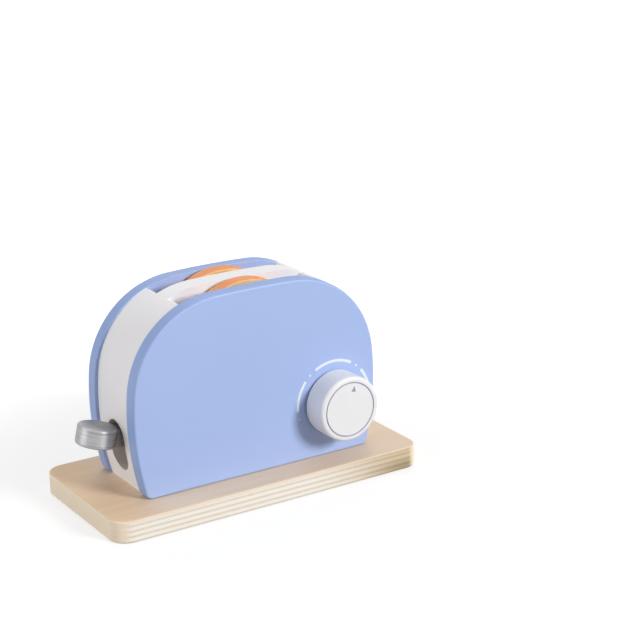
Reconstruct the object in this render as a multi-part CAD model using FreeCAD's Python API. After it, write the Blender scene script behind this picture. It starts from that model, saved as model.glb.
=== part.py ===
import FreeCAD, Part
import math
import os

# Toy toaster in wood. Millimetres, +Z up. X runs from the lever's end to the dial's end, and the dial
# faces -Y. Every piece is drawn with its origin on the board's top face under the middle of the body,
# and place() then moves it so that the origin is the middle of the board's underside.

V = FreeCAD.Vector

# Base board
board_length = 230.0
board_depth = 110.0
board_thickness = 15.0
board_corner_radius = 12.0
board_edge_radius = 1.2
body_shift = 1.5  # from the board's middle to the body's middle, toward the dial

# Body: three core plies between two panels
ply_thickness = 15.0
panel_thickness = 10.5
panel_height = 127.0
panel_half_width = 90.5
widest_height = 51.5
side_radius = 190.0
corner_radius = 63.0
crown_radius = 750.0
panel_foot_radius = 5.0
panel_edge_radius = 1.6
panel_inner_edge_radius = 0.5
core_side_inset = 1.3  # the core's outline lies this far inside the panels' outline
core_shift = 0.9  # from the body's middle to the core's middle, toward the dial

# Toast slots and slices
slot_length = 95.0
slot_foot_radius = 4.0
slot_rim_radius = 2.5
toast_side_gap = 2.5
toast_end_gap = 4.5
toast_waist_inset = 4.0
toast_crown_extra = 2.0  # how much the top's radius is over half the slice's width
toast_lobe_radius = 14.0
toast_neck_radius = 6.0
toast_foot_radius = 8.0
toast_edge_radius = 1.2
toast_seat_height = 43.0  # the top of the crossbar that the slices stand on
toast_stand = 1.6  # the slices' tops stand this far above the core's top

# Lever
pivot_offset = 51.5  # from the body's middle to the pivot, toward the lever's end
pivot_height = 26.6
pin_radius = 2.0
rest_tilt = 13.2
press_travel = 24.0
arm_height = 12.2
arm_end_overlap = 5.5  # how far the arm runs on past the lifter's middle at rest
arm_side_gap = 0.5
arm_edge_radius = 1.0
knob_radius = 13.2
knob_height = 13.1
knob_rim_radius = 1.8
knob_nesting = 0.1  # how far the knob's side reaches into the mouth
knob_dowel_radius = 2.5
knob_dowel_bite = 8.0
knob_dowel_arm_bite = 12.0
mouth_width = 22.0
mouth_depth = 14.0
mouth_room_above = 4.3
mouth_room_below = 0.3

# Lifter
lifter_width = 14.0
lifter_guide_overlap = 20.0
lifter_edge_chamfer = 0.8
crossbar_radius = 4.0
crossbar_floor_gap = 0.5
crossbar_end_gap = 1.0

# Dial
dial_offset = 57.8  # from the body's middle to the dial's axis
dial_height = 36.9
dial_radius = 22.4
dial_depth = 18.9
dial_rim_radius = 2.2
dial_heel_radius = 0.6
dial_ring_inset = 3.9  # from the dial's side to the middle of the groove round its face
dial_groove_radius = 0.45
axle_radius = 4.0
axle_bite = 12.0
dial_washer_radius = 9.0
dial_washer_thickness = 0.8
back_washer_radius = 7.0
back_washer_thickness = 1.0
dial_screw_radius = 1.5
dial_screw_length = 14.0
dial_screw_head_radius = 3.5
dial_screw_head_height = 2.4
dial_screw_head_edge = 0.8

# Dowels and screws that hold the body together
dowel_radius = 4.0
dowel_bite = 5.5
dowel_low_height = 58.0
dowel_high_height = 96.0
base_screw_radius = 2.0
base_screw_head_radius = 4.0
base_screw_length = 36.5
base_screw_tip = 3.0
base_screw_recess = 0.5
base_screw_margin = 12.0  # from the foot of the panels' outline to a screw's axis
recess_length = 4.4
recess_width = 1.0
recess_depth = 1.2

# Fits
glue_gap = 0.05
pin_gap = 0.08
shaft_gap = 0.08
slide_gap = 0.3
rest_gap = 0.3
turning_gap = 0.2
hole_end_gap = 0.5
head_room = 1.0

# Drawing aids
past = 1.0  # how far a cutting solid runs past the face it cuts
near = 1e-4  # points closer than this are at the same place

# Places worked out from the sizes above
core_half_thickness = 1.5 * ply_thickness
body_half_thickness = core_half_thickness + panel_thickness
lever_end = panel_half_width - core_side_inset - core_shift  # from the body's middle to the core's end
tilt = math.radians(rest_tilt)
pressed_tilt = math.radians(press_travel - rest_tilt)
arm_width = ply_thickness - 2 * arm_side_gap
arm_inner = pivot_offset / math.cos(tilt) + arm_end_overlap
end_reach = lever_end - pivot_offset
arm_outer = (end_reach + knob_radius - knob_nesting) / math.cos(tilt)
tip_height = pivot_height - arm_inner * math.sin(tilt)
rest_topside = pivot_height + end_reach * math.tan(tilt) + arm_height / 2 / math.cos(tilt)
pressed_underside = (
    pivot_height - end_reach * math.tan(pressed_tilt) - arm_height / 2 / math.cos(pressed_tilt)
)
pressed_tip_top = pivot_height + arm_inner * math.sin(pressed_tilt) + arm_height / 2
mouth_radius = mouth_width / 2
mouth_sag = mouth_radius - math.sqrt(mouth_radius ** 2 - (arm_width / 2) ** 2)
mouth_bottom = pressed_underside - mouth_room_below - mouth_sag
mouth_top = rest_topside + mouth_room_above
cavity_floor = tip_height - arm_height / 2 - rest_gap
cavity_roof = max(mouth_top, pressed_tip_top + head_room)
cavity_left = mouth_depth - lever_end
guide_half_width = lifter_width / 2 + slide_gap
cavity_right = max(guide_half_width, arm_inner + arm_height / 2 - pivot_offset + head_room)
lifter_foot_radius = lifter_width / 2
foot_distance = arm_height / 2 + lifter_foot_radius + rest_gap
foot_rest_height = pivot_height - pivot_offset * math.tan(tilt) + foot_distance / math.cos(tilt)
foot_pressed_height = (
    pivot_height + pivot_offset * math.tan(pressed_tilt) + foot_distance / math.cos(pressed_tilt)
)
lift = foot_pressed_height - foot_rest_height
crossbar_height = toast_seat_height - crossbar_radius
slot_floor_height = crossbar_height - crossbar_radius - crossbar_floor_gap
lifter_top = max(cavity_roof, toast_seat_height) + lifter_guide_overlap
guide_top = lifter_top + lift + head_room
toast_thickness = ply_thickness - 2 * toast_side_gap
toast_half_width = slot_length / 2 - toast_end_gap
toast_crown_radius = toast_half_width + toast_crown_extra
toast_bottom = toast_seat_height + rest_gap
toast_top = panel_height + toast_stand
dial_back = -body_half_thickness - dial_washer_thickness - turning_gap
axle_end = turning_gap - core_half_thickness
head_end = axle_end + back_washer_thickness + dial_screw_head_height
pocket_end = head_end + head_room
pocket_radius = back_washer_radius + head_room
screw_start = base_screw_recess - board_thickness


def place(shape):
    """A piece moved to the frame with its origin at the middle of the board's underside."""
    shape.translate(V(body_shift, 0, board_thickness))
    return shape


def box(x0, x1, y0, y1, z0, z1):
    return Part.makeBox(x1 - x0, y1 - y0, z1 - z0, V(x0, y0, z0))


def rod(radius, start, end):
    axis = end - start
    return Part.makeCylinder(radius, axis.Length, start, axis)


def cross_rod(radius, x, z, y0, y1):
    """A round bar along Y."""
    return rod(radius, V(x, y0, z), V(x, y1, z))


def edges_where(shape, test):
    """The edges whose two ends and middle all pass the test."""
    chosen = []
    for edge in shape.Edges:
        middle = edge.valueAt((edge.FirstParameter + edge.LastParameter) / 2)
        points = [vertex.Point for vertex in edge.Vertexes] + [middle]
        if all(test(point) for point in points):
            chosen.append(edge)
    return chosen


def runs_along(edge, direction):
    """True for a straight edge that runs along a unit direction."""
    return abs(edge.tangentAt(edge.FirstParameter).dot(direction)) > 1 - near


def on_face_y(shape, y):
    """The edges that lie in a plane across Y."""
    return edges_where(shape, lambda p: abs(p.y - y) < near)


def arc_between(centre, start, end):
    """The short arc from start to end about a centre, in a plane across Y."""
    middle = (start + end) * 0.5 - centre
    middle.normalize()
    return Part.Arc(start, centre + middle * (start - centre).Length, end)


def mirrored(points):
    return [V(-point.x, point.y, point.z) for point in reversed(points)]


def solid_from(curves, y0, y1):
    """A solid between two planes across Y, from the closed outline that the curves make."""
    wire = Part.Wire([curve.toShape() for curve in curves])
    solid = Part.Face(wire).extrude(V(0, y1 - y0, 0))
    solid.translate(V(0, y0, 0))
    return solid


def touching_centre(first, first_reach, second, second_reach):
    """The upper outer point at given distances from two centres."""
    across = second - first
    span = across.Length
    along = (first_reach ** 2 - second_reach ** 2 + span ** 2) / (2 * span)
    off = math.sqrt(first_reach ** 2 - along ** 2)
    unit = across * (1 / span)
    base = first + unit * along
    side = V(-unit.z, 0, unit.x) * off
    return max(base + side, base - side, key=lambda point: point.x + point.z)


def body_arcs(inset):
    """Centres of the side, corner and crown arcs of the body's +X half, and where they meet."""
    side_reach = side_radius - inset
    corner_reach = corner_radius - inset
    side = V(panel_half_width - side_radius, 0, widest_height)
    crown = V(0, 0, panel_height - crown_radius)
    corner = touching_centre(side, side_reach - corner_reach, crown, crown_radius - corner_reach)
    side_joint = side + (corner - side).normalize() * side_reach
    crown_joint = crown + (corner - crown).normalize() * crown_radius
    foot = V(side.x + math.sqrt(side_reach ** 2 - side.z ** 2), 0, 0)
    return side, corner, crown, foot, side_joint, crown_joint


def body_slab(inset, y0, y1):
    """One board of the body, with its ends inset from the panels' outline."""
    side, corner, crown, foot, side_joint, crown_joint = body_arcs(inset)
    left_crown_joint, left_side_joint, left_foot = mirrored([foot, side_joint, crown_joint])
    left_corner = mirrored([corner])[0]
    left_side = mirrored([side])[0]
    curves = [
        arc_between(side, foot, side_joint),
        arc_between(corner, side_joint, crown_joint),
        arc_between(crown, crown_joint, left_crown_joint),
        arc_between(left_corner, left_crown_joint, left_side_joint),
        arc_between(left_side, left_side_joint, left_foot),
        Part.LineSegment(left_foot, foot),
    ]
    return solid_from(curves, y0, y1)


def half_width_at(height):
    """The core's half-width at a height above the board."""
    side, corner, _, _, side_joint, _ = body_arcs(core_side_inset)
    if height < side_joint.z:
        centre, reach = side, side_radius - core_side_inset
    else:
        centre, reach = corner, corner_radius - core_side_inset
    return centre.x + math.sqrt(reach ** 2 - (height - centre.z) ** 2)


def dowel_places():
    """Where the core dowels lie, as (x, z): two beside each end of the slots and one under them."""
    places = []
    for height in (dowel_low_height, dowel_high_height):
        reach = (slot_length / 2 + half_width_at(height) - core_shift) / 2
        places += [(-reach, height), (reach, height)]
    under = (cavity_right + dial_offset - pocket_radius) / 2
    places.append((under, slot_floor_height / 2))
    return places


def base_screw_places():
    """Where the base screws stand, as (x, y): two in each outer core ply."""
    foot = body_arcs(0)[3]
    reach = foot.x - base_screw_margin
    return [(x, y) for x in (-reach, reach) for y in (-ply_thickness, ply_thickness)]


def base_board():
    x0 = -body_shift - board_length / 2
    board = box(x0, x0 + board_length, -board_depth / 2, board_depth / 2, -board_thickness, 0)
    corners = [edge for edge in board.Edges if runs_along(edge, V(0, 0, 1))]
    board = board.makeFillet(board_corner_radius, corners)
    rims = edges_where(board, lambda p: p.z > -near or p.z < near - board_thickness)
    board = board.makeFillet(board_edge_radius, rims)
    for x, y in base_screw_places():
        head = base_screw_head_radius + glue_gap
        shank = base_screw_radius + slide_gap
        countersink = Part.makeCone(head, shank, head - shank, V(x, y, screw_start))
        board = board.cut(rod(shank, V(x, y, screw_start), V(x, y, past)))
        board = board.cut(rod(head, V(x, y, -board_thickness - past), V(x, y, screw_start)))
        board = board.cut(countersink)
    return board


def panel(y0, y1, inner_y):
    """A side panel with rounded edges and blind bores for the core dowels in its inner face."""
    slab = body_slab(0, y0, y1)
    feet = edges_where(slab, lambda p: abs(p.z) < near and abs(p.x) > panel_half_width / 2)
    slab = slab.makeFillet(panel_foot_radius, feet)
    outer_y = y0 + y1 - inner_y
    slab = slab.makeFillet(panel_edge_radius, on_face_y(slab, outer_y))
    slab = slab.makeFillet(panel_inner_edge_radius, on_face_y(slab, inner_y))
    inward = math.copysign(dowel_bite + hole_end_gap, inner_y)
    for x, z in dowel_places():
        slab = slab.cut(cross_rod(dowel_radius + glue_gap, x, z, inner_y, inner_y + inward))
    return slab


def front_panel():
    slab = panel(-body_half_thickness, -core_half_thickness, -core_half_thickness)
    outer = -body_half_thickness - past
    inner = past - core_half_thickness
    return slab.cut(cross_rod(axle_radius + shaft_gap, dial_offset, dial_height, outer, inner))


def back_panel():
    return panel(core_half_thickness, body_half_thickness, core_half_thickness)


def mouth():
    """The tall round-ended opening in the body's end, as a solid to cut away."""
    outside = -lever_end - past
    low = mouth_bottom + mouth_radius
    high = mouth_top - mouth_radius
    lower_end = rod(mouth_radius, V(outside, 0, low), V(cavity_left, 0, low))
    upper_end = rod(mouth_radius, V(outside, 0, high), V(cavity_left, 0, high))
    middle = box(outside, cavity_left, -mouth_radius, mouth_radius, low, high)
    return lower_end.fuse([middle, upper_end]).removeSplitter()


def core_ply(y0, y1):
    """One ply of the core with the mouth and the dowel bores, which every ply has."""
    ply = body_slab(core_side_inset, y0, y1)
    ply.translate(V(core_shift, 0, 0))
    ply = ply.cut(mouth())
    for x, z in dowel_places():
        ply = ply.cut(cross_rod(dowel_radius + glue_gap, x, z, y0 - past, y1 + past))
    return ply


def slot_frame(y0, y1):
    """An outer ply: open at the top for a slice and the crossbar under it, with a bore for the pin."""
    half = slot_length / 2
    low = y0 - past
    high = y1 + past
    ply = core_ply(y0, y1)
    slot = box(-half, half, low, high, slot_floor_height, panel_height + past)
    feet = edges_where(slot, lambda p: abs(p.z - slot_floor_height) < near and abs(abs(p.x) - half) < near)
    ply = ply.cut(slot.makeFillet(slot_foot_radius, feet))
    rims = edges_where(ply, lambda p: abs(abs(p.x) - half) < near and p.z > widest_height)
    ply = ply.makeFillet(slot_rim_radius, [edge for edge in rims if runs_along(edge, V(0, 1, 0))])
    ply = ply.cut(cross_rod(pin_radius + glue_gap, -pivot_offset, pivot_height, low, high))
    bore_end = screw_start + base_screw_length + hole_end_gap
    for x, y in base_screw_places():
        if y0 < y < y1:
            ply = ply.cut(rod(base_screw_radius + glue_gap, V(x, y, -past), V(x, y, bore_end)))
    return ply


def front_slot_frame():
    frame = slot_frame(-core_half_thickness, -ply_thickness / 2)
    pocket = cross_rod(pocket_radius, dial_offset, dial_height, -core_half_thickness - past, pocket_end)
    return frame.cut(pocket)


def back_slot_frame():
    return slot_frame(ply_thickness / 2, core_half_thickness)


def centre_divider():
    """The middle ply, with the arm's cavity and, above it, the slot that guides the lifter."""
    half = ply_thickness / 2
    reach = half + past
    cavity = box(cavity_left, cavity_right, -reach, reach, cavity_floor, cavity_roof)
    guide = box(-guide_half_width, guide_half_width, -reach, reach, cavity_roof - past, guide_top)
    return core_ply(-half, half).cut(cavity.fuse(guide))


def toast(middle_y):
    """A slice with a domed top, rounded lobes at its shoulders and a slightly narrower lower part."""
    waist = toast_half_width - toast_waist_inset
    crown = V(0, 0, toast_top - toast_crown_radius)
    lobe_x = toast_half_width - toast_lobe_radius
    lobe_reach = toast_crown_radius - toast_lobe_radius
    lobe = V(lobe_x, 0, crown.z + math.sqrt(lobe_reach ** 2 - lobe_x ** 2))
    neck_x = waist + toast_neck_radius
    neck_reach = toast_lobe_radius + toast_neck_radius
    neck = V(neck_x, 0, lobe.z - math.sqrt(neck_reach ** 2 - (neck_x - lobe_x) ** 2))
    crown_joint = crown + (lobe - crown).normalize() * toast_crown_radius
    lobe_joint = lobe + (neck - lobe).normalize() * toast_lobe_radius
    shoulder = V(toast_half_width, 0, lobe.z)
    neck_joint = V(waist, 0, neck.z)
    foot = V(waist, 0, toast_bottom)
    left_crown_joint, left_shoulder, left_lobe_joint, left_neck_joint, left_foot = mirrored(
        [foot, neck_joint, lobe_joint, shoulder, crown_joint]
    )
    left_lobe, left_neck = mirrored([neck, lobe])
    curves = [
        Part.LineSegment(foot, neck_joint),
        arc_between(neck, neck_joint, lobe_joint),
        arc_between(lobe, lobe_joint, shoulder),
        arc_between(lobe, shoulder, crown_joint),
        arc_between(crown, crown_joint, left_crown_joint),
        arc_between(left_lobe, left_crown_joint, left_shoulder),
        arc_between(left_lobe, left_shoulder, left_lobe_joint),
        arc_between(left_neck, left_lobe_joint, left_neck_joint),
        Part.LineSegment(left_neck_joint, left_foot),
        Part.LineSegment(left_foot, foot),
    ]
    y0 = middle_y - toast_thickness / 2
    y1 = middle_y + toast_thickness / 2
    slice_solid = solid_from(curves, y0, y1)
    feet = edges_where(
        slice_solid, lambda p: abs(p.z - toast_bottom) < near and abs(abs(p.x) - waist) < near
    )
    slice_solid = slice_solid.makeFillet(toast_foot_radius, feet)
    rims = on_face_y(slice_solid, y0) + on_face_y(slice_solid, y1)
    return slice_solid.makeFillet(toast_edge_radius, rims)


def toast_front():
    return toast(-ply_thickness)


def toast_back():
    return toast(ply_thickness)


def on_lever(shape):
    """A piece of the lever, drawn level with the pivot at its origin, at its place at rest."""
    shape.rotate(V(0, 0, 0), V(0, 1, 0), rest_tilt)
    shape.translate(V(-pivot_offset, 0, pivot_height))
    return shape


def knob_dowel_ends():
    """Where the dowel between knob and arm ends: in the knob, and in the arm."""
    contact = knob_radius - arm_outer
    return contact - knob_dowel_bite, contact + knob_dowel_arm_bite


def lever_arm():
    half_width = arm_width / 2
    half_height = arm_height / 2
    arm = box(-arm_outer, arm_inner, -half_width, half_width, -half_height, half_height)
    tip = rod(half_height, V(arm_inner, -half_width, 0), V(arm_inner, half_width, 0))
    arm = arm.fuse(tip).removeSplitter()
    arm = arm.makeFillet(arm_edge_radius, on_face_y(arm, -half_width) + on_face_y(arm, half_width))
    knob_space = rod(knob_radius + glue_gap, V(-arm_outer, 0, -knob_height), V(-arm_outer, 0, knob_height))
    pin_bore = rod(pin_radius + pin_gap, V(0, -arm_width, 0), V(0, arm_width, 0))
    dowel_start, dowel_end = knob_dowel_ends()
    bore_end = dowel_end + hole_end_gap
    dowel_bore = rod(knob_dowel_radius + glue_gap, V(dowel_start, 0, 0), V(bore_end, 0, 0))
    return on_lever(arm.cut(knob_space).cut(pin_bore).cut(dowel_bore))


def lever_knob():
    half_height = knob_height / 2
    knob = rod(knob_radius, V(-arm_outer, 0, -half_height), V(-arm_outer, 0, half_height))
    rims = edges_where(knob, lambda p: abs(abs(p.z) - half_height) < near)
    knob = knob.makeFillet(knob_rim_radius, rims)
    dowel_start, dowel_end = knob_dowel_ends()
    bore = rod(knob_dowel_radius + glue_gap, V(dowel_start - hole_end_gap, 0, 0), V(dowel_end, 0, 0))
    return on_lever(knob.cut(bore))


def lever_knob_dowel():
    dowel_start, dowel_end = knob_dowel_ends()
    return on_lever(rod(knob_dowel_radius, V(dowel_start, 0, 0), V(dowel_end, 0, 0)))


def lever_pivot_pin():
    reach = core_half_thickness - hole_end_gap
    return cross_rod(pin_radius, -pivot_offset, pivot_height, -reach, reach)


def toast_lifter():
    """The slider in the divider. Its round foot rides on the arm, and the crossbar runs through it."""
    half_width = lifter_width / 2
    half_depth = ply_thickness / 2 - slide_gap
    block = box(-half_width, half_width, -half_depth, half_depth, foot_rest_height, lifter_top)
    top_edges = edges_where(block, lambda p: abs(p.z - lifter_top) < near)
    block = block.makeChamfer(lifter_edge_chamfer, top_edges)
    block = block.fuse(cross_rod(lifter_foot_radius, 0, foot_rest_height, -half_depth, half_depth))
    block = block.removeSplitter()
    bore = cross_rod(crossbar_radius + glue_gap, 0, crossbar_height, -ply_thickness, ply_thickness)
    return block.cut(bore)


def lifter_crossbar():
    reach = core_half_thickness - crossbar_end_gap
    return cross_rod(crossbar_radius, 0, crossbar_height, -reach, reach)


def dial_knob():
    front = dial_back - dial_depth
    dial = cross_rod(dial_radius, dial_offset, dial_height, front, dial_back)
    dial = dial.makeFillet(dial_rim_radius, edges_where(dial, lambda p: abs(p.y - front) < near))
    dial = dial.makeFillet(dial_heel_radius, edges_where(dial, lambda p: abs(p.y - dial_back) < near))
    bore_end = dial_back - axle_bite - hole_end_gap
    bore = cross_rod(axle_radius + glue_gap, dial_offset, dial_height, bore_end, dial_back + past)
    face_middle = V(dial_offset, front, dial_height)
    groove = Part.makeTorus(dial_radius - dial_ring_inset, dial_groove_radius, face_middle, V(0, 1, 0))
    return dial.cut(bore).cut(groove)


def dial_axle():
    axle = cross_rod(axle_radius, dial_offset, dial_height, dial_back - axle_bite, axle_end)
    bore_end = axle_end + back_washer_thickness - dial_screw_length - hole_end_gap
    bore = cross_rod(dial_screw_radius + glue_gap, dial_offset, dial_height, bore_end, axle_end + past)
    return axle.cut(bore)


def washer(outer, inner, y0, y1):
    ring = cross_rod(outer, dial_offset, dial_height, y0, y1)
    return ring.cut(cross_rod(inner, dial_offset, dial_height, y0 - past, y1 + past))


def dial_front_washer():
    face = -body_half_thickness
    return washer(dial_washer_radius, axle_radius + shaft_gap, face - dial_washer_thickness, face)


def dial_back_washer():
    bore = dial_screw_radius + glue_gap
    return washer(back_washer_radius, bore, axle_end, axle_end + back_washer_thickness)


def dial_screw():
    seat = axle_end + back_washer_thickness
    head = cross_rod(dial_screw_head_radius, dial_offset, dial_height, seat, head_end)
    head = head.makeFillet(dial_screw_head_edge, edges_where(head, lambda p: abs(p.y - head_end) < near))
    shank = cross_rod(dial_screw_radius, dial_offset, dial_height, seat - dial_screw_length, seat)
    return head.fuse(shank)


def core_dowels():
    reach = core_half_thickness + dowel_bite
    return Part.makeCompound([cross_rod(dowel_radius, x, z, -reach, reach) for x, z in dowel_places()])


def base_screw(x, y):
    """A countersunk wood screw that points up, with a cross recess in its head."""
    cone_height = base_screw_head_radius - base_screw_radius
    shank_end = screw_start + base_screw_length - base_screw_tip
    head = Part.makeCone(base_screw_head_radius, base_screw_radius, cone_height, V(x, y, screw_start))
    shank = rod(base_screw_radius, V(x, y, screw_start + cone_height), V(x, y, shank_end))
    tip = Part.makeCone(base_screw_radius, 0, base_screw_tip, V(x, y, shank_end))
    screw = head.fuse([shank, tip])
    low = screw_start - past
    high = screw_start + recess_depth
    for length, width in ((recess_length, recess_width), (recess_width, recess_length)):
        screw = screw.cut(box(x - length / 2, x + length / 2, y - width / 2, y + width / 2, low, high))
    return screw


def base_screws():
    return Part.makeCompound([base_screw(x, y) for x, y in base_screw_places()])


makers = [
    base_board,
    front_panel,
    back_panel,
    front_slot_frame,
    centre_divider,
    back_slot_frame,
    toast_front,
    toast_back,
    lever_arm,
    lever_knob,
    lever_knob_dowel,
    lever_pivot_pin,
    toast_lifter,
    lifter_crossbar,
    dial_knob,
    dial_axle,
    dial_front_washer,
    dial_back_washer,
    dial_screw,
    core_dowels,
    base_screws,
]

os.makedirs("parts", exist_ok=True)
for make in makers:
    piece = place(make())
    piece.exportStep("parts/" + make.__name__ + ".step")
    print(make.__name__, "solids", len(piece.Solids), "valid", piece.isValid(), round(piece.Volume, 1))

print("lift", round(lift, 3), "lift per radian of lever", round(lift / math.radians(press_travel), 4))
print("pivot at x", round(body_shift - pivot_offset, 3), "z", round(board_thickness + pivot_height, 3))
print("dial axis at x", round(body_shift + dial_offset, 3), "z", round(board_thickness + dial_height, 3))
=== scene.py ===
import math

import bmesh
import bpy
from mathutils import Matrix, Vector


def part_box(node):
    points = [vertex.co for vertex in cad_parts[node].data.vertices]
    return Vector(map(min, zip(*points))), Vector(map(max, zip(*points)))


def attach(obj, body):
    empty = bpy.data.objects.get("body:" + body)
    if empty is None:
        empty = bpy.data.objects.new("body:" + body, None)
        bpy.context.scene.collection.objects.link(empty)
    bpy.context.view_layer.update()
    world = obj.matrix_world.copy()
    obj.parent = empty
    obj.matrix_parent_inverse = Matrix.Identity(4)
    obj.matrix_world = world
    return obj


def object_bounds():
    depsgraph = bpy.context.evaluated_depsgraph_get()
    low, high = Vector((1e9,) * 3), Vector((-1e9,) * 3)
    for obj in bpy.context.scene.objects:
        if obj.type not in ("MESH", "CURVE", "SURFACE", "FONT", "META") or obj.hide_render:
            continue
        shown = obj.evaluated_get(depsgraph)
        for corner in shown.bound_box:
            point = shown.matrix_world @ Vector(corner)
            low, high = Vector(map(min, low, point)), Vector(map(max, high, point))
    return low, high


# A toy toaster in painted wood on a plywood board. Metres, +Z up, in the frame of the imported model:
# the lever is at the -X end, the dial is on the -Y side, and the board's underside is at z 0.

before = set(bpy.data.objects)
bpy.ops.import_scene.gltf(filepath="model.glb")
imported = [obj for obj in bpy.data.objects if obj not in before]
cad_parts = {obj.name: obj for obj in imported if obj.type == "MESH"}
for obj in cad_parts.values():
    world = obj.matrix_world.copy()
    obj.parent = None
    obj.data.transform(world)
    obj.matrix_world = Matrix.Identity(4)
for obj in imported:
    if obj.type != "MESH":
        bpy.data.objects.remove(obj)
cad_low, cad_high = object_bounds()

mm = 0.001

# Camera
view_azimuth = math.radians(-32.245)
view_elevation = math.radians(17.905)
view_roll = math.radians(-1.139)
view_distance = 1171.8 * mm
view_lens = 99.02  # in millimetres, as is the sensor's width
view_sensor = 36.0
view_aim = Vector((58.21, -19.36, 105.43)) * mm

# Light, where a level of 1 shows a colour as it is written
lamp_distance = 4800 * mm
key_azimuth = math.radians(26)
key_elevation = math.radians(23)
key_size = 1300 * mm
key_level = 0.80
side_azimuth = math.radians(-99)
side_elevation = math.radians(11)
side_size = 3000 * mm
side_level = 0.535
top_azimuth = math.radians(150)
top_elevation = math.radians(55)
top_size = 2800 * mm
top_level = 0.17
room_level = 0.04  # the room's light from level with the object
room_rise = 0.67  # added to it straight overhead, where most of the room's light comes from
floor_grey = 0.38  # how much light the floor sends back
floor_glow = 0.66  # added to what the camera sees of the floor near the object, to bring it near white
floor_near = 125 * mm  # the glow grows from this distance to floor_far, where it is 1
floor_far = 420 * mm
floor_reach = 12.0  # metres from its middle to each side
floor_drop = 0.2 * mm  # keeps the floor's face clear of the board's underside

# Plywood of the board
ply_pitch = 3.6 * mm  # one light and one dark ply
ply_first = 2.65 * mm  # middle of the lowest light ply, above the underside
ply_wobble = 0.5 * mm  # how far the plies wander up and down
veneer_foot = 12.4 * mm  # the top ply is the face's own veneer, a little darker
veneer_blend = 1 * mm
brown_start = 20 * mm  # the long edges are browner toward the dial's end
brown_end = 105 * mm
low_shade_start = 60 * mm  # and from here to where the browning is full, their lower plies are darker too: painted shade
shade_top = 11 * mm  # where that painted shade begins, going down, with the value below where it is full
shade_foot = 3 * mm
warm_start = -70 * mm  # from here the face grows a little warmer toward the lever's end
warm_end = -100 * mm

# Dial and the scale printed round it
ring_radius = 18.5 * mm
ring_half_width = 0.46 * mm
ring_blend = 0.1 * mm
ring_depth = 0.9 * mm  # the line's colour is full to this depth behind the dial's face
ring_depth_end = 1.2 * mm  # and it is gone at this one
scale_radius = 28.3 * mm
scale_half_width = 0.95 * mm
dot_radius = 0.8 * mm
print_thickness = 0.06 * mm
scale_arcs = ((-94, -50), (-30, 30), (50, 94))  # degrees clockwise from the top
scale_dots = (-105, -40, 40, 105)
arc_step = math.radians(3)  # between the rings of a printed strip
cap_steps = 8  # rings in each of its round ends
cap_start = 0.3  # the first ring's part of a step, so that it isn't a point
pointer_turn = math.radians(13)
pointer_foot = 12.3 * mm
pointer_tip = 16.3 * mm
pointer_half_width = 1.7 * mm

# Lever, and the slot in the core that it comes out of
lever_tilt = math.radians(13.2)
mouth_side = 11.1 * mm  # how far from the middle the shade of its inner walls reaches
mouth_side_blend = 0.2 * mm
mouth_top = 60.8 * mm
mouth_top_blend = 1 * mm
silver_metal = 0.55
silver_stretch = 0.65  # how much the knob's turned lines stretch a highlight
knob_lines = (25, 25, 1300)  # how often the fine lines repeat in a metre, along the lever's own axes
arm_lines = (18, 700, 700)
arm_painted_shade = 0.75  # painted shade: the arm's paint is darker than the knob's, for the shadow it lies in within the slot

# How high the finest relief of each surface stands
plywood_relief = 0.05 * mm
paint_relief = 0.03 * mm
silver_relief = 0.03 * mm
toast_relief = 0.04 * mm
dial_relief = 0.015 * mm
dowel_relief = 0.05 * mm
rubber_relief = 0.03 * mm
steel_relief = 0.01 * mm

noise_low = 0.3  # the values of a noise lie mostly between these two
noise_high = 0.7
white = (1, 1, 1, 1)

# Places taken from the frame
panel_low, panel_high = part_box("front_panel")
dial_low, dial_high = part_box("dial_knob")
dial_axis = (dial_low + dial_high) / 2
knob_low, knob_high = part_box("lever_knob")


def srgb(red, green, blue):
    """A colour given as it shows on a screen, 0 to 255, in linear light."""
    def linear(value):
        value /= 255
        return value / 12.92 if value <= 0.04045 else ((value + 0.055) / 1.055) ** 2.4

    return linear(red), linear(green), linear(blue), 1.0


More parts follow.
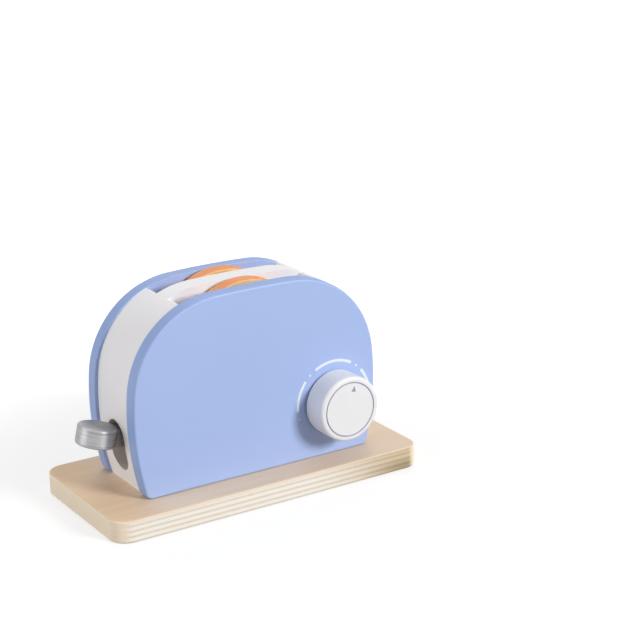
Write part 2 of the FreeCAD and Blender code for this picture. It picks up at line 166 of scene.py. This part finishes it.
class Look:
    """A node tree under construction, with short ways to add the nodes that the materials share."""

    def __init__(self, owner):
        owner.use_nodes = True
        self.owner = owner
        self.nodes = owner.node_tree.nodes
        self.links = owner.node_tree.links
        self.place = self.add("TexCoord").outputs["Object"]

    def add(self, kind, inputs=None, **settings):
        node = self.nodes.new("ShaderNode" + kind)
        for name, value in settings.items():
            setattr(node, name, value)
        for name, value in (inputs or {}).items():
            self.feed(node.inputs[name], value)
        return node

    def feed(self, socket, value):
        if isinstance(value, bpy.types.NodeSocket):
            self.links.new(value, socket)
        else:
            socket.default_value = value

    def calc(self, operation, *values):
        """What a math node makes of one, two or three values."""
        node = self.add("Math", operation=operation)
        for socket, value in zip(node.inputs, values):
            self.feed(socket, value)
        return node.outputs["Value"]

    def split(self, vector):
        outputs = self.add("SeparateXYZ", {"Vector": vector}).outputs
        return outputs["X"], outputs["Y"], outputs["Z"]

    def cross(self, first, second):
        node = self.add("VectorMath", {0: first, 1: second}, operation="CROSS_PRODUCT")
        return node.outputs["Vector"]

    def noise(self, scale, detail=3.0, roughness=0.5, turn=(0, 0, 0)):
        """Noise at the place on the object, which is turned, then scaled along each axis.

        The scale is how often the pattern repeats in a metre, or nearly.
        """
        turned = self.add("Mapping", {"Vector": self.place, "Rotation": turn}).outputs["Vector"]
        scaled = self.add("Mapping", {"Vector": turned, "Scale": scale}).outputs["Vector"]
        inputs = {"Vector": scaled, "Scale": 1.0, "Detail": detail, "Roughness": roughness}
        return self.add("TexNoise", inputs).outputs["Fac"]

    def ramp(self, value, low, high, to_low=0.0, to_high=1.0):
        """A smooth rise from to_low to to_high as value goes from low to high."""
        inputs = {"Value": value, "From Min": low, "From Max": high, "To Min": to_low, "To Max": to_high}
        return self.add("MapRange", inputs, interpolation_type="SMOOTHSTEP").outputs["Result"]

    def spread(self, noise, to_low=0.0, to_high=1.0):
        """A noise, made to run from to_low to to_high over most of its values."""
        return self.ramp(noise, noise_low, noise_high, to_low, to_high)

    def together(self, first, second, share):
        """Two heights in one, of which the first has a share."""
        parts = self.calc("MULTIPLY", first, share), self.calc("MULTIPLY", second, 1 - share)
        return self.calc("ADD", *parts)

    def mix(self, factor, first, second, blend="MIX"):
        """The first colour at a factor of 0, the second at 1."""
        node = self.add("Mix", data_type="RGBA", blend_type=blend)
        # The node has sockets for each kind of value, and these are the ones for colours.
        factor_socket, first_socket, second_socket, result_socket = 0, 6, 7, 2
        self.feed(node.inputs[factor_socket], factor)
        self.feed(node.inputs[first_socket], first)
        self.feed(node.inputs[second_socket], second)
        return node.outputs[result_socket]

    def tinted(self, colour, tint):
        return self.mix(1.0, colour, tint, "MULTIPLY")

    def tone(self, colour, factor):
        """A colour made lighter or darker by a factor that varies over the surface."""
        node = self.add("VectorMath", operation="SCALE")
        self.feed(node.inputs[0], colour[:3] if isinstance(colour, tuple) else colour)
        self.feed(node.inputs["Scale"], factor)
        return node.outputs["Vector"]

    def bump(self, height, depth):
        """A surface normal from a height of 0 to 1, where depth is the real depth in metres."""
        return self.add("Bump", {"Height": height, "Distance": depth, "Strength": 1.0}).outputs["Normal"]


def finish_look(look, colour, roughness, normal=None, tangent=None, **fixed):
    """Joins what varies over the surface to the shader, and sets its fixed values."""
    shader = look.nodes["Principled BSDF"]
    varied = {"Base Color": colour, "Roughness": roughness, "Normal": normal, "Tangent": tangent}
    for name, value in varied.items():
        if value is not None:
            look.feed(shader.inputs[name], value)
    for name, value in fixed.items():
        shader.inputs[name].default_value = value
    return look.owner


def new_look(name):
    return Look(bpy.data.materials.new(name))


def surface_parts(look):
    """How much the surface faces along X, Y and Z, each from 0 to 1."""
    normal = look.add("TexCoord").outputs["Normal"]
    return [look.calc("ABSOLUTE", part) for part in look.split(normal)]


def plywood():
    """Clear-lacquered plywood: a quiet face grain along X and striped edges."""
    look = new_look("clear_plywood")
    x, _, z = look.split(look.place)
    facing_x, _, facing_z = surface_parts(look)

    streaks = look.noise((9, 170, 170), detail=5, roughness=0.6)
    cloud = look.noise((7, 16, 16), detail=2)
    pores = look.noise((55, 1300, 1300), detail=2)
    face = look.mix(look.spread(streaks), srgb(228, 204, 177), srgb(236, 216, 192))
    face = look.mix(look.spread(cloud, 0.0, 0.6), face, srgb(232, 206, 178))
    warmer = look.tinted(face, srgb(255, 245, 232))
    face = look.mix(look.ramp(x, warm_start, warm_end), face, warmer)
    face = look.tone(face, look.ramp(pores, 0.28, 0.42, 0.95, 1.0))

    wobble = look.noise((14, 14, 60), detail=3)
    height = look.calc("MULTIPLY_ADD", wobble, ply_wobble, z)
    turns = look.calc("DIVIDE", look.calc("SUBTRACT", height, ply_first), ply_pitch)
    wave = look.calc("COSINE", look.calc("MULTIPLY", turns, math.tau))
    long_fibres = look.noise((45, 45, 1500), detail=4, roughness=0.7)
    cut_fibres = look.noise((1300, 1300, 600), detail=3, roughness=0.7)
    light_ply = look.tone(srgb(254, 247, 236), look.ramp(long_fibres, 0.25, 0.75, 0.95, 1.0))
    dark_ply = look.tone(srgb(234, 220, 201), look.ramp(cut_fibres, 0.25, 0.75, 0.88, 1.05))
    edge = look.mix(look.ramp(wave, -0.85, 0.2), dark_ply, light_ply)
    veneer = look.tinted(edge, srgb(247, 238, 229))
    edge = look.mix(look.ramp(z, veneer_foot, veneer_foot + veneer_blend), edge, veneer)
    browner_edge = look.tinted(edge, srgb(218, 205, 180))
    edge = look.mix(look.ramp(x, brown_start, brown_end), edge, browner_edge)
    # painted shade: the long edges' lower plies are made darker toward the dial's end
    low_painted_shade = look.tinted(edge, srgb(205, 200, 190))
    below = look.ramp(z, shade_top, shade_foot)
    edge = look.mix(look.calc("MULTIPLY", below, look.ramp(x, low_shade_start, brown_end)), edge, low_painted_shade)
    end = look.mix(look.ramp(wave, -0.6, 0.5), srgb(250, 231, 205), srgb(252, 234, 209))
    end = look.tone(end, look.ramp(cut_fibres, 0.25, 0.75, 0.96, 1.03))
    edge = look.mix(look.ramp(facing_x, 0.1, 0.6), edge, end)

    colour = look.mix(look.ramp(facing_z, 0.45, 0.8), edge, face)
    normal = look.bump(look.together(streaks, pores, 0.6), plywood_relief)
    return finish_look(look, colour, look.spread(streaks, 0.5, 0.6), normal)


def paint(name, colour, edge, inner=None):
    """Satin paint on wood: a fine skin, with faint grain under it.

    The edge colour is where it faces along X or Z, reaching over the rounded edges, and the inner one in
    the slot of the lever.
    """
    look = new_look(name)
    facing_x, facing_y, _ = surface_parts(look)
    grain = look.noise((10, 190, 190), detail=4, roughness=0.6)
    skin = look.noise((420, 420, 420), detail=2)
    cloud = look.noise((14, 14, 14), detail=3)
    # on the blue, the darker edge colour is partly paint soaked into the edges and partly painted shade
    # that dims the rounded edges' highlight
    painted = look.mix(look.ramp(facing_y, 0.55, 0.98), edge, colour)
    painted = look.tone(painted, look.spread(cloud, 0.985, 1.01))
    normal = look.bump(look.together(grain, skin, 0.5), paint_relief)
    if inner is not None:
        painted = look.mix(in_mouth(look, facing_x), painted, inner)
    return finish_look(look, painted, look.spread(skin, 0.41, 0.51), normal)


def in_mouth(look, facing_x):
    """1 on the sides, roof and floor of the lever's slot and cavity, and 0 on what shows of the outside."""
    _, y, z = look.split(look.place)
    beside = look.ramp(look.calc("ABSOLUTE", y), mouth_side + mouth_side_blend, mouth_side)
    below = look.ramp(z, mouth_top + mouth_top_blend, mouth_top)
    off_end = look.ramp(facing_x, 0.8, 0.5)
    return look.calc("MULTIPLY", look.calc("MULTIPLY", beside, below), off_end)


def round_lines(look, axis_point):
    """The direction across lines turned about the lever's upright axis through a point, for highlights."""
    axis = (math.sin(lever_tilt), 0, math.cos(lever_tilt))
    from_point = look.add("VectorMath", {0: look.place, 1: axis_point}, operation="SUBTRACT")
    along_lines = look.cross(axis, from_point.outputs["Vector"])
    across = look.cross(look.add("TexCoord").outputs["Normal"], along_lines)
    turned = look.add("VectorTransform", {"Vector": across}, convert_from="OBJECT", convert_to="WORLD")
    return turned.outputs["Vector"]


def silver_paint(name, scale, light=1.0, axis_point=None):
    """Metallic paint over wood: fine lines along the lever's own axes, and flakes that glitter a little.

    Round an axis_point the lines are turned ones, which stretch each highlight across them.
    """
    look = new_look(name)
    lines = look.noise(scale, detail=4, roughness=0.7, turn=(0, -lever_tilt, 0))
    flakes = look.noise((2600, 2600, 2600), detail=1)
    cloud = look.noise((60, 60, 60), detail=3)
    shade = look.mix(look.spread(lines), srgb(153, 153, 154), srgb(182, 182, 184))
    # light below 1 darkens the paint all over, as painted shade for a part that lies in shadow
    shade = look.tone(shade, look.spread(flakes, 0.93 * light, 1.06 * light))
    shade = look.tone(shade, look.spread(cloud, 0.94, 1.03))
    roughness = look.spread(lines, 0.54, 0.42)
    normal = look.bump(look.together(lines, flakes, 0.7), silver_relief)
    if axis_point is None:
        return finish_look(look, shade, roughness, normal, Metallic=silver_metal)
    tangent = round_lines(look, axis_point)
    fixed = {"Metallic": silver_metal, "Anisotropic": silver_stretch}
    return finish_look(look, shade, roughness, normal, tangent, **fixed)


def toast_paint():
    """A slice's paint: an orange crust round the rim, and lighter toasted faces."""
    look = new_look("toast_paint")
    _, facing_y, _ = surface_parts(look)
    blotches = look.noise((55, 55, 55), detail=4, roughness=0.6)
    grain = look.noise((260, 260, 18), detail=3)
    face = look.mix(look.ramp(blotches, 0.35, 0.7), srgb(238, 205, 140), srgb(228, 178, 108))
    crust = look.mix(look.spread(blotches), srgb(240, 156, 98), srgb(230, 142, 84))
    colour = look.mix(look.ramp(facing_y, 0.55, 0.95), crust, face)
    roughness = look.spread(grain, 0.45, 0.55)
    return finish_look(look, colour, roughness, look.bump(grain, toast_relief))


def dial_paint():
    """White paint with a grey-blue line in the groove round the dial's face."""
    look = new_look("dial_paint")
    x, y, z = look.split(look.place)
    across = look.calc("SUBTRACT", x, dial_axis.x)
    up = look.calc("SUBTRACT", z, dial_axis.z)
    squares = look.calc("ADD", look.calc("MULTIPLY", across, across), look.calc("MULTIPLY", up, up))
    off_ring = look.calc("ABSOLUTE", look.calc("SUBTRACT", look.calc("SQRT", squares), ring_radius))
    on_ring = look.ramp(off_ring, ring_half_width, ring_half_width - ring_blend)
    at_face = look.ramp(y, dial_low.y + ring_depth_end, dial_low.y + ring_depth)
    skin = look.noise((500, 500, 500), detail=2)
    cloud = look.noise((40, 40, 40), detail=3)
    plain = look.tone(srgb(240, 239, 240), look.spread(cloud, 0.985, 1.005))
    colour = look.mix(look.calc("MULTIPLY", on_ring, at_face), plain, srgb(148, 153, 172))
    roughness = look.spread(skin, 0.34, 0.42)
    return finish_look(look, colour, roughness, look.bump(skin, dial_relief))


def ink(name, colour):
    """Screen-printed ink, a little uneven in cover."""
    look = new_look(name)
    cover = look.noise((900, 900, 900), detail=2)
    shade = look.tone(colour, look.spread(cover, 0.96, 1.0))
    return finish_look(look, shade, look.spread(cover, 0.5, 0.6))


def bare_wood():
    """Hardwood dowel: fine straight grain."""
    look = new_look("bare_wood")
    grain = look.noise((500, 25, 120), detail=4, roughness=0.6)
    colour = look.mix(look.spread(grain), srgb(206, 172, 130), srgb(232, 206, 170))
    return finish_look(look, colour, look.spread(grain, 0.6, 0.7), look.bump(grain, dowel_relief))


def rubber():
    look = new_look("dark_washer")
    skin = look.noise((1500, 1500, 1500), detail=2)
    colour = look.tone(srgb(48, 48, 50), look.spread(skin, 0.85, 1.1))
    return finish_look(look, colour, look.spread(skin, 0.7, 0.85), look.bump(skin, rubber_relief))


def steel():
    look = new_look("plated_steel")
    skin = look.noise((700, 700, 700), detail=3)
    colour = look.tone(srgb(196, 196, 200), look.spread(skin, 0.9, 1.05))
    roughness = look.spread(skin, 0.25, 0.4)
    return finish_look(look, colour, roughness, look.bump(skin, steel_relief), Metallic=1.0)


def dress(material, slot, *names):
    """Gives CAD nodes a material."""
    for name in names:
        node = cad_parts[name]
        for held in node.material_slots:
            held.material = material


def piece_from(name, build, material, body):
    """A new piece whose mesh the function build makes, riding on a body."""
    work = bmesh.new()
    build(work)
    bmesh.ops.recalc_face_normals(work, faces=work.faces)
    mesh = bpy.data.meshes.new(name)
    work.to_mesh(mesh)
    work.free()
    piece = bpy.data.objects.new(name, mesh)
    bpy.context.scene.collection.objects.link(piece)
    mesh.materials.append(material)
    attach(piece, body)


def about_dial(radius, turn, y):
    """A point at a distance from the dial's axis, turned clockwise from the top."""
    return Vector((dial_axis.x + radius * math.sin(turn), y, dial_axis.z + radius * math.cos(turn)))


def print_arc(work, start, end, half_width):
    """A thin printed strip about the dial's axis, with round ends. It runs between two turns."""
    back = panel_low.y + print_thickness / 2
    front = panel_low.y - print_thickness
    cap = half_width / scale_radius
    cap_turns = [math.pi / 2 * (step + cap_start) / cap_steps for step in range(cap_steps)]
    caps = [cap * (1 - math.cos(cap_turn)) for cap_turn in cap_turns]
    middle_steps = max(2, round((end - start) / arc_step))
    span = end - start - 2 * cap
    turns = [start + turn for turn in caps]
    turns += [start + cap + span * step / middle_steps for step in range(middle_steps + 1)]
    turns += [end - turn for turn in reversed(caps)]
    rings = []
    for turn in turns:
        into = min(1.0, (turn - start) / cap, (end - turn) / cap)
        half = half_width * math.sqrt(max(0.0, 1 - (1 - into) ** 2))
        corners = [(half, back), (half, front), (-half, front), (-half, back)]
        rings.append([work.verts.new(about_dial(scale_radius + off, turn, y)) for off, y in corners])
    for first, second in zip(rings, rings[1:]):
        for side in range(4):
            after = (side + 1) % 4
            work.faces.new((first[side], first[after], second[after], second[side]))
    work.faces.new(rings[0])
    work.faces.new(rings[-1])


def build_scale(work):
    for start, end in scale_arcs:
        print_arc(work, math.radians(start), math.radians(end), scale_half_width)
    for middle in scale_dots:
        reach = dot_radius / scale_radius
        print_arc(work, math.radians(middle) - reach, math.radians(middle) + reach, dot_radius)


def build_pointer(work):
    """The small printed triangle near the edge of the dial's face."""
    corners = [
        (pointer_foot, -pointer_half_width),
        (pointer_foot, pointer_half_width),
        (pointer_tip, 0),
    ]
    rings = []
    for y in (dial_low.y + print_thickness / 2, dial_low.y - print_thickness):
        ring = []
        for along, aside in corners:
            x = along * math.sin(pointer_turn) + aside * math.cos(pointer_turn)
            z = along * math.cos(pointer_turn) - aside * math.sin(pointer_turn)
            ring.append(work.verts.new((dial_axis.x + x, y, dial_axis.z + z)))
        rings.append(ring)
    for side in range(3):
        after = (side + 1) % 3
        work.faces.new((rings[0][side], rings[0][after], rings[1][after], rings[1][side]))
    work.faces.new(rings[0])
    work.faces.new(rings[1])


def seen_rays(look):
    """1 for the rays that show the backdrop: from the camera, and mirrored or bent on the way to it."""
    path = look.add("LightPath").outputs
    seen = look.calc("MAXIMUM", path["Is Camera Ray"], path["Is Glossy Ray"])
    return look.calc("MAXIMUM", seen, path["Is Transmission Ray"])


def make_floor():
    look = new_look("studio_floor")
    diffuse = look.add("BsdfDiffuse", {"Color": (floor_grey, floor_grey, floor_grey, 1)})
    away = look.add("VectorMath", {0: look.place}, operation="LENGTH").outputs["Value"]
    level = look.ramp(away, floor_near, floor_far, floor_glow, 1.0)
    glow = look.add("Emission", {"Strength": look.calc("MULTIPLY", seen_rays(look), level)})
    both = look.add("AddShader")
    look.links.new(diffuse.outputs["BSDF"], both.inputs[0])
    look.links.new(glow.outputs["Emission"], both.inputs[1])
    look.links.new(both.outputs["Shader"], look.nodes["Material Output"].inputs["Surface"])
    mesh = bpy.data.meshes.new("studio_floor")
    corners = [(-1, -1), (1, -1), (1, 1), (-1, 1)]
    points = [(x * floor_reach, y * floor_reach, -floor_drop) for x, y in corners]
    mesh.from_pydata(points, [], [(0, 1, 2, 3)])
    mesh.materials.append(look.owner)
    floor = bpy.data.objects.new("studio_floor", mesh)
    bpy.context.scene.collection.objects.link(floor)


def make_room():
    """A white backdrop, and soft light that comes mostly from overhead."""
    world = bpy.data.worlds.new("studio_room")
    bpy.context.scene.world = world
    look = Look(world)
    _, _, z = look.split(look.add("TexCoord").outputs["Generated"])
    level = look.calc("MULTIPLY_ADD", look.calc("MULTIPLY", z, z), room_rise, room_level)
    lit = look.add("Background", {"Color": white, "Strength": level})
    shown = look.add("Background", {"Color": white, "Strength": 1.0})
    both = look.add("MixShader", {"Fac": seen_rays(look)})
    look.links.new(lit.outputs["Background"], both.inputs[1])
    look.links.new(shown.outputs["Background"], both.inputs[2])
    look.links.new(both.outputs["Shader"], look.nodes["World Output"].inputs["Surface"])


def toward(azimuth, elevation):
    """The direction from the object to something at an azimuth round it and an elevation."""
    level = math.cos(elevation)
    return Vector((math.sin(azimuth) * level, -math.cos(azimuth) * level, math.sin(elevation)))


def make_lamp(name, azimuth, elevation, size, level):
    """A square soft lamp that faces the object, and lights what faces it to a level."""
    lamp = bpy.data.lights.new(name, "AREA")
    lamp.shape = "SQUARE"
    lamp.size = size
    lamp.energy = level * (math.pi * lamp_distance) ** 2
    light = bpy.data.objects.new(name, lamp)
    back = toward(azimuth, elevation)
    light.location = (cad_low + cad_high) / 2 + back * lamp_distance
    light.rotation_euler = back.to_track_quat("Z", "Y").to_euler()
    bpy.context.scene.collection.objects.link(light)


def make_camera():
    data = bpy.data.cameras.new("camera")
    data.lens = view_lens
    data.sensor_width = view_sensor
    camera = bpy.data.objects.new("camera", data)
    turn = Matrix.Rotation(view_azimuth, 4, "Z")
    tip = Matrix.Rotation(math.pi / 2 - view_elevation, 4, "X")
    roll = Matrix.Rotation(view_roll, 4, "Z")
    place = Matrix.Translation(view_aim + toward(view_azimuth, view_elevation) * view_distance)
    camera.matrix_world = place @ turn @ tip @ roll
    bpy.context.scene.collection.objects.link(camera)
    bpy.context.scene.camera = camera


make_camera()
make_floor()
make_room()
make_lamp("key_light", key_azimuth, key_elevation, key_size, key_level)
make_lamp("side_light", side_azimuth, side_elevation, side_size, side_level)
make_lamp("top_light", top_azimuth, top_elevation, top_size, top_level)
bpy.context.scene.view_settings.view_transform = "Standard"

dress(plywood(), "plywood", "base_board")
# the darker edge colour is partly soaked-in paint and partly painted shade on the rounded edges
blue = paint("blue_paint", colour=srgb(168, 189, 235), edge=srgb(147, 171, 221))
dress(blue, "blue_paint", "front_panel", "back_panel")
core_shades = {"colour": srgb(240, 238, 240), "edge": srgb(243, 241, 243), "inner": srgb(236, 229, 220)}
core_paint = paint("white_paint", **core_shades)
dress(core_paint, "white_paint", "front_slot_frame", "centre_divider", "back_slot_frame")
dress(toast_paint(), "toast_paint", "toast_front", "toast_back")
knob_middle = (knob_low + knob_high) / 2
dress(silver_paint("silver_turned", knob_lines, axis_point=knob_middle), "silver_paint", "lever_knob")
dress(silver_paint("silver_planed", arm_lines, arm_painted_shade), "silver_paint", "lever_arm")
dress(dial_paint(), "dial_paint", "dial_knob")
wooden_insides = ("toast_lifter", "lifter_crossbar", "core_dowels", "lever_knob_dowel", "dial_axle")
dress(bare_wood(), "bare_wood", *wooden_insides)
dress(rubber(), "dark_washer", "dial_front_washer")
dress(steel(), "steel", "lever_pivot_pin", "dial_back_washer", "dial_screw", "base_screws")

piece_from("dial_scale", build_scale, ink("white_ink", srgb(232, 238, 246)), "toaster_body")
piece_from("dial_pointer", build_pointer, ink("grey_ink", srgb(150, 155, 178)), "dial")
